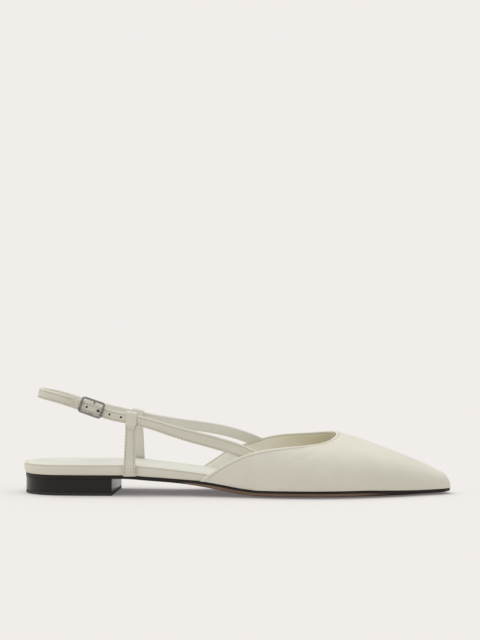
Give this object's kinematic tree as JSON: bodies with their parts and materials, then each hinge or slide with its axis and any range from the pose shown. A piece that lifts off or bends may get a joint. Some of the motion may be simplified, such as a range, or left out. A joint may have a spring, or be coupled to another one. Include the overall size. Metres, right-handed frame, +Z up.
{
  "type": "sling back flat",
  "caption": "Pointed leather flat for the right foot, with cut-away sides, a buckled sling strap through upright loops, a thin sole and a low block heel.",
  "frame": {"origin": "on the floor, below the middle of the shoe's length and width", "axes": "+X to the toe, -Y to the outer side of the right foot, +Z up"},
  "size_m": [0.27, 0.079, 0.0661],
  "materials": {
    "cream_leather": "smooth calf, low sheen",
    "cream_lining": "soft matt lining leather",
    "black_sole_edge": "inked and waxed edge, tan bevel",
    "black_lacquer": "gloss black",
    "black_rubber": "matt",
    "polished_steel": "polished"
  },
  "bodies": {
    "root": {"outsole": "black_sole_edge", "heel_block": "black_lacquer", "top_lift": "black_rubber", "insole_board": "cream_leather", "sock_lining": "cream_lining", "vamp": "cream_leather", "sling_lateral": "cream_leather", "sling_medial": "cream_leather", "upright_lateral": "cream_leather", "upright_medial": "cream_leather", "buckle_frame": "polished_steel", "buckle_prong": "polished_steel"}
  },
  "joints": []
}
